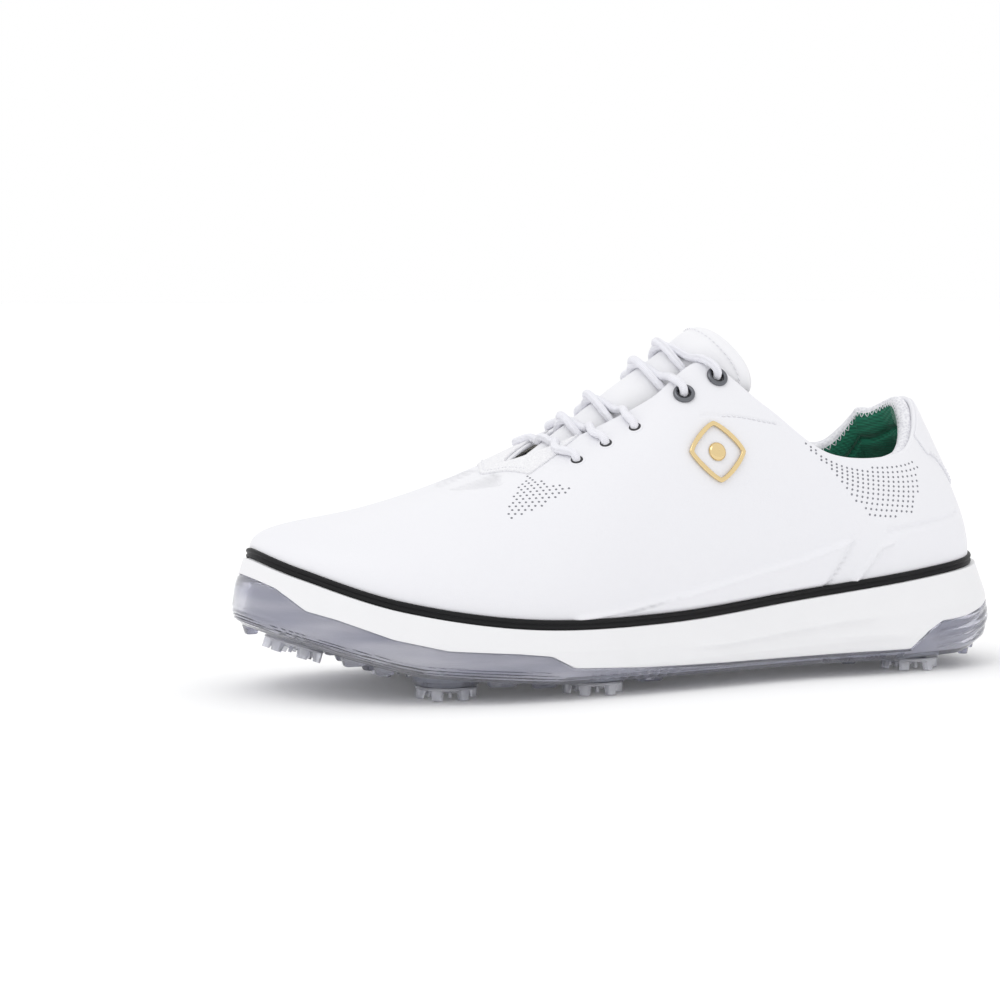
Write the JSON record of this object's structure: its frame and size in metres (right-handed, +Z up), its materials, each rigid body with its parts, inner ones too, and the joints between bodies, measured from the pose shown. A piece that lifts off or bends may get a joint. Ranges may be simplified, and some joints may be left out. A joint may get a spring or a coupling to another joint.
{
  "type": "golf shoe",
  "caption": "Left low-cut lace-up golf shoe: white leather upper, padded tongue and collar, thick white midsole with a black stripe, clear cleated outsole.",
  "frame": {"origin": "on the ground under the middle of the whole shoe", "axes": "+X from toe to heel, +Y to the inner side of the foot, +Z up"},
  "size_m": [0.3146, 0.1146, 0.1375],
  "materials": {
    "white_leather": "smooth matt white microfibre leather with a fine grain",
    "stiffener": "thin thermoplastic stiffener sheet",
    "grey_mesh": "light grey spacer mesh",
    "green_lining": "dark green woven lining",
    "foam": "open-cell padding foam",
    "board": "stitched fibre insole board",
    "gold": "polished gold-coloured metal",
    "white_lace": "round braided white polyester",
    "clear_rubber": "clear blue-grey thermoplastic, glossy",
    "white_foam_rubber": "white moulded foam rubber, satin",
    "black_plate": "moulded stiff plate",
    "black_rubber": "black ribbed rubber strip",
    "gunmetal": "dark gunmetal, satin",
    "clear_nylon": "clear film lace tip",
    "clear_cleat": "clear polyurethane",
    "grey_nylon": "moulded grey nylon"
  },
  "bodies": {
    "shoe": {"upper": "white_leather", "heel_overlay": "white_leather", "eyestay_facing_lateral": "stiffener", "eyestay_facing_medial": "stiffener", "toe_puff": "stiffener", "heel_counter": "stiffener", "vamp_lining": "grey_mesh", "collar_lining": "grey_mesh", "throat_tab": "grey_mesh", "sockliner": "grey_mesh", "quarter_lining": "green_lining", "collar_foam": "foam", "insole_board": "board", "ornament_ring": "gold", "ornament_stud": "gold", "lace": "white_lace", "outsole": "clear_rubber", "midsole": "white_foam_rubber", "shank": "black_plate", "sole_stripe": "black_rubber", "eyelet_lateral_1": "gunmetal", "eyelet_washer_lateral_1": "gunmetal", "eyelet_lateral_2": "gunmetal", "eyelet_washer_lateral_2": "gunmetal", "aglet_lateral": "clear_nylon", "eyelet_medial_1": "gunmetal", "eyelet_washer_medial_1": "gunmetal", "eyelet_medial_2": "gunmetal", "eyelet_washer_medial_2": "gunmetal", "aglet_medial": "clear_nylon", "cleat_socket_1": "grey_nylon", "cleat_socket_2": "grey_nylon", "cleat_socket_3": "grey_nylon", "cleat_socket_4": "grey_nylon", "cleat_socket_5": "grey_nylon", "cleat_socket_6": "grey_nylon", "cleat_socket_7": "grey_nylon"},
    "tongue": {"tongue_shell": "white_leather", "tongue_padding": "foam", "tongue_lining": "grey_mesh"},
    "cleat_1": {"cleat_1": "clear_cleat"},
    "cleat_2": {"cleat_2": "clear_cleat"},
    "cleat_3": {"cleat_3": "clear_cleat"},
    "cleat_4": {"cleat_4": "clear_cleat"},
    "cleat_5": {"cleat_5": "clear_cleat"},
    "cleat_6": {"cleat_6": "clear_cleat"},
    "cleat_7": {"cleat_7": "clear_cleat"}
  },
  "joints": [
    {"name": "tongue_flex", "type": "hinge", "parent": "shoe", "child": "tongue", "pos_m": [-0.05584, 0.00252, 0.079], "axis": [0, 1, 0], "range_deg": [0, 10], "stiffness_Nm_per_rad": 2},
    {"name": "cleat_1_twist", "type": "hinge", "parent": "shoe", "child": "cleat_1", "pos_m": [-0.13684, -0.00048, 0.0197], "axis": [0.3087, 0, 0.9512], "range_deg": [-90, 0]},
    {"name": "cleat_2_twist", "type": "hinge", "parent": "shoe", "child": "cleat_2", "pos_m": [-0.08784, -0.03048, 0.0053], "axis": [0, 0, 1], "range_deg": [-90, 0]},
    {"name": "cleat_3_twist", "type": "hinge", "parent": "shoe", "child": "cleat_3", "pos_m": [-0.08284, 0.03452, 0.0053], "axis": [0, 0, 1], "range_deg": [-90, 0]},
    {"name": "cleat_4_twist", "type": "hinge", "parent": "shoe", "child": "cleat_4", "pos_m": [-0.03184, -0.03748, 0.0053], "axis": [0, 0, 1], "range_deg": [-90, 0]},
    {"name": "cleat_5_twist", "type": "hinge", "parent": "shoe", "child": "cleat_5", "pos_m": [-0.02584, 0.02902, 0.0053], "axis": [0, 0, 1], "range_deg": [-90, 0]},
    {"name": "cleat_6_twist", "type": "hinge", "parent": "shoe", "child": "cleat_6", "pos_m": [0.11216, -0.02198, 0.0053], "axis": [0, 0, 1], "range_deg": [-90, 0]},
    {"name": "cleat_7_twist", "type": "hinge", "parent": "shoe", "child": "cleat_7", "pos_m": [0.11216, 0.02702, 0.0053], "axis": [0, 0, 1], "range_deg": [-90, 0]}
  ]
}
